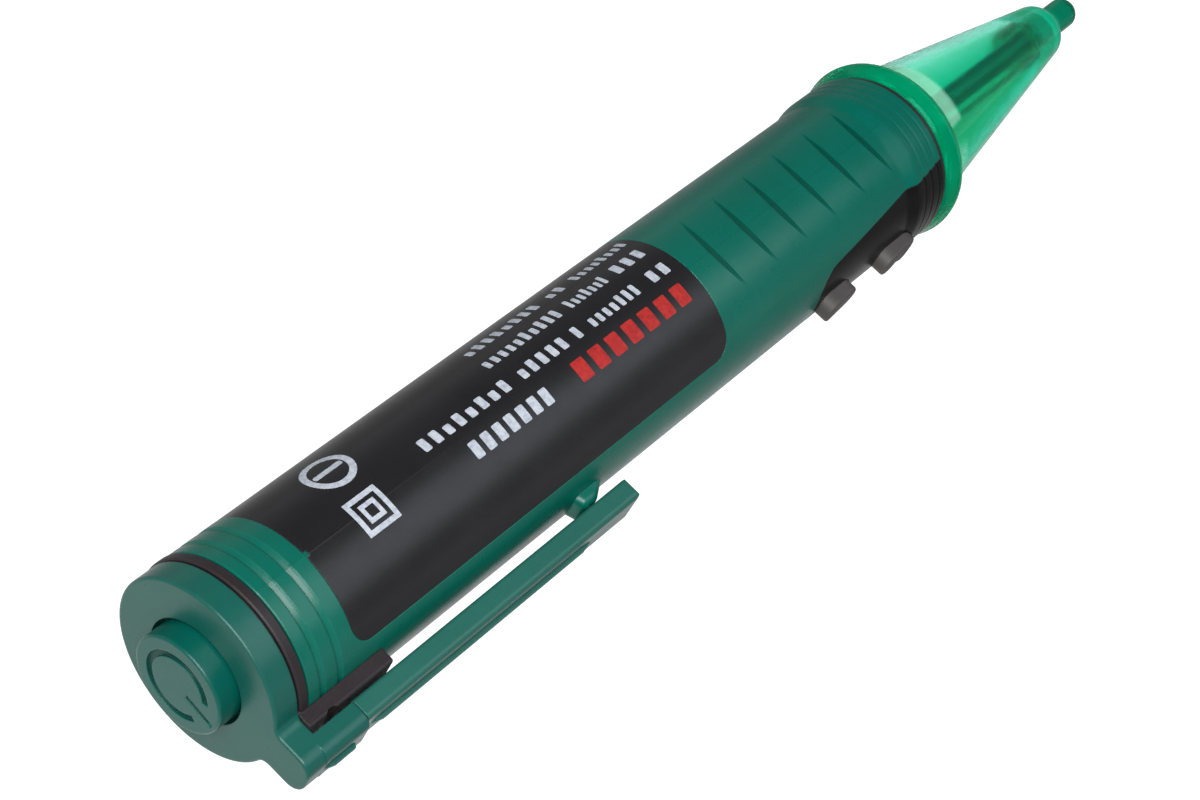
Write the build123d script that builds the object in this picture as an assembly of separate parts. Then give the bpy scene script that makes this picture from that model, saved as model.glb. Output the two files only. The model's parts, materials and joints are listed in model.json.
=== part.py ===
from build123d import *
import math
import os

# Pen-shaped non-contact AC voltage and metal detector, real size, millimetres.
# +X runs from the tail button to the nose tip along the barrel's axis, the keys and the pocket
# clip are on the -Y side, +Z is up. The two housing halves part on the plane y = 0.
# Stations along the barrel are laid out from the tail cap's rear face; write() moves every piece
# forward by the button's stand-out, so that the button's rear face comes to x = 0.

# ------------------------------------------------------------------ driving dimensions
FAR = 30                 # reach of cutting shapes, well beyond the barrel

BODY_R = 12.5            # barrel outside radius
BORE_R = 10.9            # barrel inside radius
BODY_X0, BODY_X1 = 5.37, 139.4    # ends of the housing
COLLAR_X = 129.2         # where the front collar starts to rise
COLLAR_R = 13.15         # front collar outside radius
TAIL_GROOVE_X = (7.10, 10.02)
COLLAR_RIB_X = (133.1, 134.85, 136.6)
SEAL_SEAT_X = 138.3      # seat of the nose seal
SEAL_SEAT_R = 12.05
SPLIT = 0.006            # half of the hairline gap between the two housing halves
RIB_X = (68.0, 90.0, 106.0, 128.0)   # rear faces of the ring ribs in the back half

LABEL_X0, LABEL_X1 = 13.3, 85.8   # wrap label, along the barrel
LABEL_HALF_Z = 6.155     # half height of the strip the label leaves bare on the clip side
LABEL_ROUND = 2.8        # label corner radius
LABEL_DEPTH = 0.18       # recess depth
LABEL_T = 0.15           # film thickness
LABEL_GAP = 0.07         # play between the film's edge and its recess

GRIP_X = (91.5, 98.75, 105.75, 112.85, 120.1, 127.2)   # deepest points of the finger grooves
GRIP_DEPTH = 0.42
GRIP_RING_R = 12.62      # in-plane radius of a groove's bottom line
GRIP_TILT = 40.0         # lean of a groove's plane, degrees
GRIP_ARC = 110           # arc of the cutting ring, degrees

PANEL_X0 = 107.9         # rear edge of the keypad panel
PANEL_HW0, PANEL_HW1 = 6.05, 9.85   # panel half height at its rear and front edge
PANEL_ROUND = 4.5
PANEL_FLOOR_R = 11.5     # bottom of the panel's recess

KEY_X = ((109.0, 116.25), (123.45, 131.95))   # rear and front key, along the barrel
KEY_HW = 2.1             # key half width
KEY_CORNER = 2.05        # plan corner radius, so the keys are oval nubs
KEY_GAP = 0.15           # play round a key
KEY_FLANGE_Y = -8.6      # outer keys stand on a flange that ends here
# (station, radius) along each crown, and the crown's radius 1 mm behind and 1 mm ahead of the key
KEY_CROWN = (((110.0, 14.62), (115.0, 14.3)),
             ((124.4, 14.52), (126.0, 14.5), (128.1, 14.22), (129.3, 14.36), (130.3, 14.2)))
KEY_CROWN_ENDS = ((14.68, 14.1), (14.5, 13.0))

CAP_R = 12.43            # tail cap outside radius
CAP_L = 3.5              # visible length of the cap
CAP_WALL = 2.0           # thickness of the cap's rear wall
PLUG_R = 10.75           # plug that enters the barrel
PLUG_X1 = 12.5

RING_R = 12.62           # seal ring outside radius
RING_X0, RING_X1 = CAP_L + 0.04, BODY_X0 - 0.04
TONGUE_X1 = 17.6
TONGUE_HW = 3.65
TONGUE_Y = 14.08         # distance of the tongue's outer face from the axis

BUTTON_R = 6.65
BUTTON_HOLE_R = 7.15
BUTTON_X0 = -2.9         # rear face
BUTTON_WELL_X = -1.4     # floor of the hollow in the button's front
MARK_GAP_DIR = 98.0      # direction of the power mark's gap, degrees from +Z towards -Y
SWITCH_BOARD_X0, SWITCH_BOARD_X1 = 6.41, 7.4

LUG_HW = 3.05            # lug behind the clip: half width, outer and inner distance from the axis
LUG_OUT, LUG_IN = 18.0, 14.65
LUG_X1 = 10.2
CLIP_HW = 2.9
CLIP_IN, CLIP_OUT = 14.4, 17.4
CLIP_X0, CLIP_X1 = LUG_X1 + 0.07, 61.2
RIDGE_HW = 0.36          # raised line along the lug and the clip
RIDGE_H = 0.48

CELL_R = 5.25            # AAA cell
CELL_L = 44.5
CELL_Z = 5.35            # distance of a cell's axis from the barrel's
CELL_X0 = 14.6
CELL_X1 = CELL_X0 + CELL_L
BULK_X0, BULK_X1 = 59.4, 62.9     # front bulkhead of the battery carrier
SPRING_WIRE_R = 0.25
LEAD_R = 0.55

BOARD_Y0, BOARD_Y1 = -3.4, -2.2   # main board faces
BOARD_X0, BOARD_X1 = 65.5, 133.2
BOARD_HW = 9.3
MOUNT_Y = BOARD_Y0 - 0.01         # where parts sit on the board's key side
BOSS_X = (71.0, 99.5)             # board screws and their bosses

TIP_R = 2.45
TIP_X = 197.1            # front end of the probe tip
CONE_X0 = BODY_X1 + 0.08          # rear edge of the cone's visible part
SPOOL_X0, SPOOL_X1 = 152.75, 184.9   # inner faces of the coil former's flanges
LAMP_X = 135.75
LAMP_Z = (5.6, -5.6)
ANTENNA_Y = -3.1


# ------------------------------------------------------------------ helpers
def outline(*pts):
    """Closed face through the points."""
    return make_face(Polyline(*pts, close=True))


def turn(pts, rounds=None):
    """Solid of revolution about X from (x, r) points; rounds maps a point's index to a radius."""
    face = outline(*pts)
    for i, radius in (rounds or {}).items():
        corner = face.vertices().sort_by_distance(Vector(pts[i][0], pts[i][1], 0))[0]
        face = fillet(corner, radius)
    return revolve(face, Axis.X, 360)


def cyl_x(x0, x1, radius, y=0.0, z=0.0):
    return Pos((x0 + x1) / 2, y, z) * Rot(0, 90, 0) * Cylinder(radius, x1 - x0)


def cyl_y(y0, y1, radius, x):
    return Pos(x, (y0 + y1) / 2, 0) * Rot(90, 0, 0) * Cylinder(radius, y1 - y0)


def block(x0, x1, y0, y1, z0, z1):
    return Pos((x0 + x1) / 2, (y0 + y1) / 2, (z0 + z1) / 2) * Box(x1 - x0, y1 - y0, z1 - z0)


def rectangle(x0, x1, y0, y1):
    return Pos((x0 + x1) / 2, (y0 + y1) / 2) * Rectangle(x1 - x0, y1 - y0)


def plate(sketch, y_top, y_bottom):
    """Sketch drawn as (x, z), given a thickness from y_top down to y_bottom."""
    # Plane.XZ extrudes towards -Y
    return Pos(0, y_top, 0) * extrude(Plane.XZ * sketch, amount=y_top - y_bottom)


def side(sketch, half_width):
    """Sketch drawn as (x, y), given a width of twice half_width along Z."""
    return Pos(0, 0, -half_width) * extrude(sketch, amount=2 * half_width)


def join(shapes):
    out = shapes[0]
    for shape in shapes[1:]:
        out += shape
    return out


def outward(edges, y):
    """Edges whose middle lies beyond y on the clip side."""
    return [edge for edge in edges if edge.center().Y < y]


def softened(solid, edges, radius):
    """Rounds the edges; a smaller radius is taken where the full one doesn't fit."""
    for share in (1.0, 0.7, 0.45, 0.25):
        # guards against a fillet that the kernel can't build at this radius
        try:
            out = fillet(edges, radius * share)
            if out.is_valid and out.volume > 0.5 * solid.volume:
                return out
        except Exception:
            pass
    return solid


def coil(x0, x1, mean_r, turns, z=0.0):
    """Compression spring along X with its ends at x0 and x1 (wire included)."""
    height = (x1 - x0) - 2 * SPRING_WIRE_R
    path = Helix(pitch=height / turns, height=height, radius=mean_r)
    start = Plane(origin=path @ 0, z_dir=path % 0)
    spring = sweep(start * Circle(SPRING_WIRE_R), path=path, is_frenet=True)
    return Pos(x0 + SPRING_WIRE_R, 0, z) * Rot(0, 90, 0) * spring


def write(name, shape):
    solids = [Pos(-BUTTON_X0, 0, 0) * solid for solid in shape.solids()]
    out = solids[0] if len(solids) == 1 else Compound(children=solids)
    out.label = name
    export_step(out, f"parts/{name}.step")


# ------------------------------------------------------------------ housing
def envelope():
    """Outside form of the barrel: ridged tail zone, plain barrel, ribbed collar, seal seat."""
    pts = [(BODY_X0, 0), (BODY_X0, BODY_R - 0.17), (BODY_X0 + 0.06, BODY_R - 0.07),
           (BODY_X0 + 0.17, BODY_R)]
    # (step along x, depth): each tail groove has a low sloping land on its front side
    groove = ((0, 0), (0.06, 0.46), (0.20, 0.46), (0.26, 0.38), (0.84, 0.12), (0.90, 0.12),
              (1.02, 0))
    for x in TAIL_GROOVE_X:
        pts += [(x + step, BODY_R - depth) for step, depth in groove]
    pts += [(COLLAR_X, BODY_R), (COLLAR_X + 0.5, BODY_R + 0.04),
            (COLLAR_X + 2.5, COLLAR_R - 0.06), (COLLAR_X + 3.1, COLLAR_R)]
    for x in COLLAR_RIB_X:
        pts += [(x + step, COLLAR_R - depth)
                for step, depth in ((0, 0), (0.25, 0.07), (0.42, 0.07), (0.67, 0))]
    pts += [(SEAL_SEAT_X - 0.12, COLLAR_R), (SEAL_SEAT_X, COLLAR_R - 0.12),
            (SEAL_SEAT_X, SEAL_SEAT_R), (BODY_X1, SEAL_SEAT_R), (BODY_X1, 0)]
    return turn(pts)


def label_region(grow=0.0):
    """Space round the barrel that the label covers: all of it but a strip on the clip side."""
    x0, x1, half_z = LABEL_X0 - grow, LABEL_X1 + grow, LABEL_HALF_Z - grow
    sheet = rectangle(x0, x1, half_z, half_z + 30)
    sheet = fillet(sheet.vertices().group_by(Axis.Y)[0], LABEL_ROUND + grow)
    upper = plate(sheet, 0, -FAR)
    return upper + mirror(upper, Plane.XY) + block(x0, x1, 0, FAR, -FAR, FAR)


def panel_outline(shrink=0.0):
    """Tapered panel, as (x, z); at full size it runs out past the front edge."""
    x0 = PANEL_X0 + shrink
    x1 = SEAL_SEAT_X + (0.0 if shrink else 1.0)
    slope = (PANEL_HW1 - PANEL_HW0) / (SEAL_SEAT_X - PANEL_X0)
    rear = PANEL_HW0 - shrink
    front = PANEL_HW0 + slope * (x1 - PANEL_X0) - shrink
    face = outline((x0, -rear), (x1, -front), (x1, front), (x0, rear))
    return fillet(face.vertices().group_by(Axis.X)[0], PANEL_ROUND - shrink)


def key_plan(x0, x1, grow=0.0):
    return Pos((x0 + x1) / 2, 0) * RectangleRounded(
        x1 - x0 + 2 * grow, 2 * (KEY_HW + grow), KEY_CORNER + grow)


def with_key_openings(solid):
    for x0, x1 in KEY_X:
        solid -= plate(key_plan(x0, x1, KEY_GAP), 0, -FAR)
    return solid


def grip_ring():
    """Slanted cutting ring: a ramp from the tail side and a short steep wall on the nose side.

    The groove is deepest on the flank's crown and runs out to nothing 31 degrees each side of it.
    """
    tilt = math.radians(GRIP_TILT)
    # (x, height over the bottom line) on the barrel, turned back into the leaning plane
    section_pts = ((-0.12, 0.0), (-3.3, 1.4), (0.25, 1.4), (0.1, 0.0))
    pts = [(x * math.cos(tilt) + z * math.sin(tilt),
            GRIP_RING_R - x * math.sin(tilt) + z * math.cos(tilt)) for x, z in section_pts]
    ring = revolve(outline(*pts), Axis.X, GRIP_ARC)
    ring = Rot(90 - GRIP_ARC / 2, 0, 0) * ring     # centres the arc on +Z
    return Rot(0, -GRIP_TILT, 0) * (Pos(0, 0, -GRIP_RING_R) * ring)


def housing_shell(skin):
    """Both halves in one, with the label recess and the finger grooves."""
    shell = skin - cyl_x(BODY_X0 - 1, BODY_X1 + 1, BORE_R)
    shell -= label_region(LABEL_GAP) & (
        cyl_x(LABEL_X0 - 1, LABEL_X1 + 1, 20)
        - cyl_x(LABEL_X0 - 2, LABEL_X1 + 2, BODY_R - LABEL_DEPTH))
    ring = grip_ring()
    for x in GRIP_X:
        groove = Pos(x, 0, BODY_R - GRIP_DEPTH) * ring
        shell -= groove
        shell -= mirror(groove, Plane.XY)
    return shell


def clip_rest():
    """Rest for the clip tip: steep towards the tail, ramped towards the nose."""
    crest = (56.5, -14.16)
    face = outline((53.5, -11.9), (54.15, -13.7), (54.7, crest[1]), crest,
                   (59.3, -12.45), (59.3, -11.9))
    face = fillet(face.vertices().sort_by_distance(Vector(*crest, 0))[0], 1.6)
    bump = side(face, 2.3)
    bump = softened(bump, outward(bump.faces().filter_by(Axis.Z).edges(), -12.2), 1.1)
    return bump - cyl_x(50, 62, BODY_R - 0.4)


def housing_key_half(shell):
    half = shell & block(-5, 150, -FAR, -SPLIT, -FAR, FAR)
    half -= plate(panel_outline(), 0, -FAR) - cyl_x(90, 150, PANEL_FLOOR_R)
    return with_key_openings(half) + clip_rest()


def housing_back_half(shell):
    """Carries the main board's screw bosses and the ring ribs that stiffen it."""
    rooted_r = BORE_R + 0.3      # bosses and ribs reach this far into the wall
    half = shell & block(-5, 150, SPLIT, FAR, -FAR, FAR)
    for x in BOSS_X:
        boss = cyl_y(BOARD_Y1 + 0.02, 12, 2.3, x) - cyl_y(BOARD_Y1 - 1, 5, 1.0, x)
        half += boss & cyl_x(50, 120, rooted_r)
    for x in RIB_X:
        rib = cyl_x(x, x + 1.0, rooted_r) - cyl_x(x - 1, x + 2, BORE_R - 0.9)
        half += rib & block(x - 1, x + 2, SPLIT, FAR, -FAR, FAR)
    return half


# ------------------------------------------------------------------ label and keypad
def body_label():
    inner_r = BODY_R - LABEL_DEPTH + 0.01
    film = (cyl_x(LABEL_X0, LABEL_X1, inner_r + LABEL_T)
            - cyl_x(LABEL_X0 - 1, LABEL_X1 + 1, inner_r))
    film &= label_region()
    # nick at the +Y side of the rear edge
    return film - block(LABEL_X0 - 1, LABEL_X0 + 0.55, -0.4, 0.4, 10, 14)


def keypad_panel(skin):
    sheet = (skin - cyl_x(90, 150, PANEL_FLOOR_R + 0.02)) & plate(panel_outline(0.04), 0, -FAR)
    return with_key_openings(sheet)


def key(i):
    """Both crowns fall towards the nose; the front key dips once more before its nose end."""
    x0, x1 = KEY_X[i]
    mid = (x0 + x1) / 2
    behind, ahead = KEY_CROWN_ENDS[i]
    crown = turn([(x0 - 1, 0), (x0 - 1, behind), *KEY_CROWN[i], (x1 + 1, ahead), (x1 + 1, 0)])
    nub = plate(key_plan(x0, x1), KEY_FLANGE_Y, -16) & crown
    nub = softened(nub, outward(nub.edges(), -12.7), 0.45)
    flange = block(mid - 5.2, mid + 5.2, KEY_FLANGE_Y - 0.95, KEY_FLANGE_Y, -4.5, 4.5)
    stem = cyl_y(KEY_FLANGE_Y - 0.1, -8.32, 2.0, mid)
    return nub + flange + stem


def key_plunger(i):
    return cyl_y(-8.3, -6.0, 1.7, sum(KEY_X[i]) / 2)


def key_switch(x):
    half = 3.0
    body = (block(x - half, x + half, -6.9, MOUNT_Y, -half, half)
            - cyl_y(-7.5, -4.1, 1.76, x))
    corners = body.edges().filter_by(Axis.Y).filter_by(
        lambda edge: abs(edge.center().Z) > half - 0.1)
    return chamfer(corners, 0.4)


# ------------------------------------------------------------------ main board
def main_board():
    sheet = RectangleRounded(BOARD_X1 - BOARD_X0, 2 * BOARD_HW, 1.0)
    board = plate(Pos((BOARD_X0 + BOARD_X1) / 2, 0) * sheet, BOARD_Y1, BOARD_Y0)
    for x in BOSS_X:
        board -= cyl_y(BOARD_Y0 - 1, BOARD_Y1 + 1, 1.15, x)
    return board


def board_screw(x):
    """Cross-slotted screw whose head bears on the board's key side."""
    slot_l, slot_w = 1.5, 0.22     # half length and half width
    screw = cyl_y(-4.9, MOUNT_Y, 2.0, x) + cyl_y(-4.0, 4.0, 0.95, x)
    for dx, dz in ((slot_l, slot_w), (slot_w, slot_l)):
        screw -= block(x - dx, x + dx, -5.2, -4.4, -dz, dz)
    return screw


def chip(mid_x, mid_z, length, pins, pitch=1.27):
    """Small-outline package on the board's key side, legs included, one solid."""
    half_z = 1.95
    out = block(mid_x - length / 2, mid_x + length / 2, BOARD_Y0 - 1.75, BOARD_Y0 - 0.2,
                mid_z - half_z, mid_z + half_z)
    out = chamfer(out.faces().sort_by(Axis.Y)[0].edges(), 0.25)
    # arm, leg and foot: (outer, inner height over the board; near, far distance from mid_z)
    leg_parts = ((0.9, 0.7, 1.8, 2.6), (0.9, 0.01, 2.4, 2.6), (0.21, 0.01, 2.4, 3.0))
    for k in range(pins):
        x = mid_x + (k - (pins - 1) / 2) * pitch
        for sign in (1, -1):
            out += join([block(x - 0.2, x + 0.2, BOARD_Y0 - high, BOARD_Y0 - low,
                               *sorted((mid_z + sign * near, mid_z + sign * far)))
                         for high, low, near, far in leg_parts])
    return out


# Centres (x, z) of the small two-ended parts: lying along X, then along Z
PASSIVES_X = ((77.0, 4.5), (77.0, 6.6), (77.0, -4.5), (77.0, -6.6), (85.0, 6.2), (88.5, 6.2),
              (103.8, -3.0), (103.8, -5.2), (107.4, -3.0), (107.4, -5.2), (102.0, 7.2))
PASSIVES_Z = ((82.0, -6.2), (85.0, -6.2), (88.0, -6.2), (93.6, 3.4), (93.6, -3.4),
              (121.2, 6.6), (121.2, -6.6))


def chip_passives():
    half_l, half_w = 1.0, 0.62
    return join([block(x - dx, x + dx, MOUNT_Y - 0.6, MOUNT_Y, z - dz, z + dz)
                 for places, dx, dz in ((PASSIVES_X, half_l, half_w), (PASSIVES_Z, half_w, half_l))
                 for x, z in places])


def reservoir_capacitor():
    """Lies on the board's back face, with two lead stubs at its rear end."""
    x0, radius, length = 79.5, 2.5, 6.8
    can = turn([(0, 0), (0, radius), (length, radius), (length, 0)], {1: 0.35, 2: 0.35})
    can = Pos(x0, BOARD_Y1 + radius + 0.03, 0) * can
    for z in (-1.3, 0.7):
        can += block(x0 - 0.5, x0 + 0.05, BOARD_Y1 + 2.2, BOARD_Y1 + 2.8, z, z + 0.6)
    return can


def sounder():
    x = 115.0
    disc = cyl_y(BOARD_Y1 + 0.01, 3.2, 6.0, x) - cyl_y(2.2, 3.4, 1.1, x)
    return softened(disc, disc.edges().filter_by(GeomType.CIRCLE).sort_by(Axis.Y)[-3:], 0.3)


# ------------------------------------------------------------------ cells, carrier and contacts
def cell():
    """AAA cell along +X with its nub at the far end."""
    nub_r = 1.9
    return turn([(0, 0), (0, 5.05), (0.2, CELL_R), (CELL_L - 1.3, CELL_R), (CELL_L - 1.0, 5.0),
                 (CELL_L - 1.0, nub_r), (CELL_L, nub_r), (CELL_L, 0)], {6: 0.3})


def battery_carrier():
    """One piece: the two side rails are tied by the front bulkhead."""
    carrier = cyl_x(15.4, BULK_X1, 10.7) & block(15, 63, -7.9, 7.9, -11, 11)
    for z in (CELL_Z, -CELL_Z):
        carrier -= cyl_x(15, BULK_X0, CELL_R + 0.12, 0, z)
    carrier -= cyl_x(BULK_X0 - 1, 62.0, 3.6, 0, -CELL_Z)            # pocket of the front spring
    carrier -= cyl_x(BULK_X0 - 1, BULK_X0 + 0.32, 3.6, 0, CELL_Z)   # seat of the contact plate
    for z in (CELL_Z, -CELL_Z):                                     # lead holes
        carrier -= cyl_x(BULK_X0 - 1, BULK_X1 + 1, 0.9, 0, z)
    return carrier - cyl_x(15, 70, 1.2)


def front_contact_plate():
    return (cyl_x(CELL_X1 + 0.02, BULK_X0 + 0.3, 3.5, 0, CELL_Z)
            + cyl_x(BULK_X0, BULK_X1 + 0.6, 0.6, 0, CELL_Z))


def battery_lead(sign):
    """Lead from the bulkhead to the board, on the +Z or the -Z side."""
    pts = ((BULK_X1 + 0.8, 0, CELL_Z), (65.5, -0.6, 5.6), (67.6, -1.35, 6.2), (69.6, -1.55, 6.6))
    path = Spline(*[(x, y, sign * z) for x, y, z in pts])
    return sweep(Plane(origin=path @ 0, z_dir=path % 0) * Circle(LEAD_R), path=path)


# ------------------------------------------------------------------ tail cap and seal ring
def outer_ridge(foot0, top0, top1, foot1, base):
    """Raised line on a face at y = -base, from four stations along X."""
    ridge = side(outline((foot0, -base + 0.3), (foot0, -base), (top0, -base - RIDGE_H),
                         (top1, -base - RIDGE_H), (foot1, -base), (foot1, -base + 0.3)), RIDGE_HW)
    return softened(ridge, outward(ridge.edges(), -base - 0.1), 0.15)


def cap_head():
    """Visible disc of the cap with the root of the lug; its outline is drawn as (y, z)."""
    face = Circle(CAP_R) + rectangle(-LUG_OUT, -9.0, -LUG_HW, LUG_HW)
    face = fillet([v for v in face.vertices() if v.X < -(LUG_OUT - 0.1)], 2.15)
    roots = [v for v in face.vertices() if abs(abs(v.Y) - LUG_HW) < 0.01 and -13 < v.X < -10]
    face = fillet(roots, 1.5)
    head = extrude(Plane.YZ * face, amount=CAP_L)
    return softened(head, head.faces().sort_by(Axis.X)[0].edges(), 0.38)


def cap_lug():
    face = rectangle(-LUG_OUT, -LUG_IN, -LUG_HW, LUG_HW)
    face = fillet(face.vertices().group_by(Axis.X)[0], 1.65)
    lug = Pos(CAP_L - 0.5, 0, 0) * extrude(Plane.YZ * face, amount=LUG_X1 - CAP_L + 0.5)
    front_edges = lug.faces().sort_by(Axis.X)[-1].edges()
    return softened(lug, outward(front_edges, -LUG_IN - 0.3), 0.3)


def tail_cap():
    groove_x0, groove_x1, groove_r = 8.4, 9.75, 9.98     # O-ring groove
    plug = turn([(CAP_L - 0.1, 0), (CAP_L - 0.1, PLUG_R), (groove_x0, PLUG_R),
                 (groove_x0, groove_r), (groove_x1, groove_r), (groove_x1, PLUG_R),
                 (PLUG_X1 - 0.4, PLUG_R), (PLUG_X1, PLUG_R - 0.4), (PLUG_X1, 0)])
    cap = cap_head() + cap_lug() + outer_ridge(3.0, 4.6, 7.9, 8.2, LUG_OUT) + plug
    cap -= cyl_x(-1, 3, BUTTON_HOLE_R)
    cap -= cyl_x(CAP_WALL, 7.0, 8.4)
    cap -= cyl_x(6.4, PLUG_X1 + 1, 9.3)
    # socket for the clip's peg, open to the front, roomy inwards so the peg can swing
    return cap - block(5.2, LUG_X1 + 1, -16.75, -15.15, -1.7, 1.7)


def ring_tongue():
    """Tongue that lies on the barrel under the clip, with a cross groove near its rear end."""
    x0, floor_y = RING_X0 + 0.02, -TONGUE_Y + 0.42
    tongue = side(outline((x0, -12.2), (x0, -TONGUE_Y), (6.2, -TONGUE_Y), (6.7, floor_y),
                          (7.5, floor_y), (8.1, -TONGUE_Y), (TONGUE_X1, -TONGUE_Y),
                          (TONGUE_X1, -9.0), (x0, -9.0)), TONGUE_HW)
    tongue -= cyl_x(RING_X1 - 0.001, 30, BODY_R + 0.06)
    tongue -= cyl_x(0, RING_X1, 11.9)
    long_edges = [edge for edge in outward(tongue.edges(), -TONGUE_Y + 0.02)
                  if abs(edge.center().Z) > TONGUE_HW - 0.05]
    tongue = softened(tongue, long_edges, 0.4)
    tip_edges = [edge for edge in outward(tongue.edges(), -TONGUE_Y + 0.5)
                 if abs(edge.center().X - TONGUE_X1) < 0.02]
    return softened(tongue, tip_edges, 0.35)


def seal_ring():
    inner_r = PLUG_R + 0.03
    ring = turn([(RING_X0, inner_r), (RING_X0, 12.0), (RING_X0 + 0.26, 12.0),
                 (RING_X0 + 0.26, RING_R - 0.16), (RING_X0 + 0.42, RING_R),
                 (RING_X1 - 0.32, RING_R), (RING_X1 - 0.2, RING_R - 0.12),
                 (RING_X1 - 0.2, 12.05), (RING_X1, 12.05), (RING_X1, inner_r)])
    return ring + ring_tongue()


# ------------------------------------------------------------------ power button and tail switch
def power_mark():
    """Power symbol, an open arc with a bar in its gap, as a cutter for the button's rear face."""
    def polar(degrees, radius):
        angle = math.radians(degrees)
        return (-math.sin(angle) * radius, math.cos(angle) * radius)

    half_gap, half_bar = 29, 0.4      # degrees, mm
    bar_in, bar_out = 1.6, 6.05       # radii of the bar's ends
    arc = Circle(4.85) - Circle(3.95)
    arc -= outline((0, 0), *[polar(MARK_GAP_DIR + turned, 9)
                             for turned in (-half_gap, 0, half_gap)])
    across = polar(MARK_GAP_DIR - 90, half_bar)
    bar_pts = []
    for radius, sign in ((bar_in, 1), (bar_out, 1), (bar_out, -1), (bar_in, -1)):
        y, z = polar(MARK_GAP_DIR, radius)
        bar_pts.append((y + sign * across[0], z + sign * across[1]))
    return extrude(Plane.YZ * (arc + outline(*bar_pts)), amount=0.4)


def power_button():
    """Hollow button with a retaining flange and a centre pin that meets the switch."""
    flange_x, flange_r, hollow_r, pin_r, pin_x = CAP_WALL + 0.05, 7.9, 5.4, 1.2, 3.6
    button = turn([(BUTTON_X0, 0), (BUTTON_X0, BUTTON_R), (flange_x, BUTTON_R),
                   (flange_x, flange_r), (flange_x + 1, flange_r), (flange_x + 1, hollow_r),
                   (BUTTON_WELL_X, hollow_r), (BUTTON_WELL_X, pin_r), (pin_x, pin_r), (pin_x, 0)],
                  {1: 0.34})
    return button - Pos(BUTTON_X0 - 0.05, 0, 0) * power_mark()


def power_switch():
    half = 2.9
    return block(4.6, SWITCH_BOARD_X0 - 0.03, -half, half, -half, half) - cyl_x(4, 6.28, 1.66)


def cap_contact_springs():
    x0, x1 = SWITCH_BOARD_X1 + 0.03, CELL_X0 - 0.03
    return coil(x0, x1, 2.7, 4, 4.75) + coil(x0, x1, 1.5, 4, -CELL_Z)


# ------------------------------------------------------------------ pocket clip
def pocket_clip():
    bar = rectangle(-CLIP_OUT, -CLIP_IN, -CLIP_HW, CLIP_HW)     # cross-section, as (y, z)
    bar = fillet(bar.vertices().group_by(Axis.X)[0], 0.75)
    bar = fillet(bar.vertices().group_by(Axis.X)[-1], 0.5)
    arm = Pos(CLIP_X0, 0, 0) * extrude(Plane.YZ * bar, amount=CLIP_X1 - CLIP_X0)
    # square front end with rounded corners, seen from the side and from outside
    profile = rectangle(CLIP_X0, CLIP_X1, -CLIP_OUT, -CLIP_IN)
    arm &= side(fillet(profile.vertices().group_by(Axis.X)[-1], 0.6), 4)
    plan = rectangle(CLIP_X0, CLIP_X1, -CLIP_HW, CLIP_HW)
    arm &= plate(fillet(plan.vertices().group_by(Axis.X)[-1], 0.6), 0, -25)
    peg = block(6.4, CLIP_X0 + 0.5, -16.65, -15.65, -1.6, 1.6)
    return arm + outer_ridge(11.3, 13.4, 50.4, 52.2, CLIP_OUT) + peg


# ------------------------------------------------------------------ nose
def nose_cone():
    """Plug in the barrel, bulged rim, long cone and probe tip, hollowed from the rear."""
    nose = turn([(135.4, 0), (135.4, 10.82), (CONE_X0, 10.82), (CONE_X0, 12.75),
                 (BODY_X1 + 0.45, 13.15), (141.5, 13.95), (142.45, 13.75), (142.9, 12.9),
                 (143.35, 11.6), (173.1, 6.8), (187.6, 4.47), (190.2, TIP_R), (TIP_X, TIP_R),
                 (TIP_X, 0)],
                {5: 0.7, 6: 0.5, 8: 0.55, 10: 3.0, 11: 0.9, 12: 2.0})
    return nose - turn([(134.9, 0), (134.9, 9.35), (142.5, 9.35), (144.0, 9.85), (173.1, 5.2),
                        (179.6, 4.15), (180.9, 2.35), (186.4, 2.35), (187.0, 1.8), (187.0, 0)])


def nose_seal():
    x0, x1, inner_r = SEAL_SEAT_X + 0.05, BODY_X1 + 0.04, SEAL_SEAT_R + 0.03
    return turn([(x0, inner_r), (x0, 12.6), (SEAL_SEAT_X + 0.3, 12.78), (BODY_X1 - 0.2, 12.78),
                 (x1, 12.6), (x1, inner_r)])


def sensor_carrier():
    """Cup with a central sleeve, bored for the rod, the lamps and the antenna wire."""
    cup = turn([(135.7, 0), (135.7, 9.25), (145.3, 9.25), (145.6, 8.95), (145.6, 8.45),
                (137.8, 8.45), (137.8, 3.0), (139.2, 2.35), (152.0, 2.35), (152.0, 0)])
    cup -= cyl_x(133, 160, 1.36)
    for z in LAMP_Z:
        cup -= cyl_x(135, 137.85, 1.56, 0, z)
    return cup - cyl_x(133, 140, 0.5, ANTENNA_Y)


def coil_former():
    bore_r, tube_r, x0, x1 = 1.33, 1.5, SPOOL_X0 - 0.7, SPOOL_X1 + 0.7
    return turn([(x0, bore_r), (x0, 2.25), (SPOOL_X0, 2.25), (SPOOL_X0, tube_r),
                 (SPOOL_X1, tube_r), (SPOOL_X1, 2.1), (x1, 2.1), (x1, bore_r)])


def alarm_lamp(z):
    """Domed lamp facing the nose, with a collar round its body."""
    lamp = turn([(0, 0), (0, 1.5), (5.4, 1.5), (5.4, 0)], {2: 1.4})
    lamp += turn([(2.25, 0), (2.25, 1.9), (3.2, 1.9), (3.2, 0)])
    return Pos(LAMP_X, 0, z) * lamp


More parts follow.
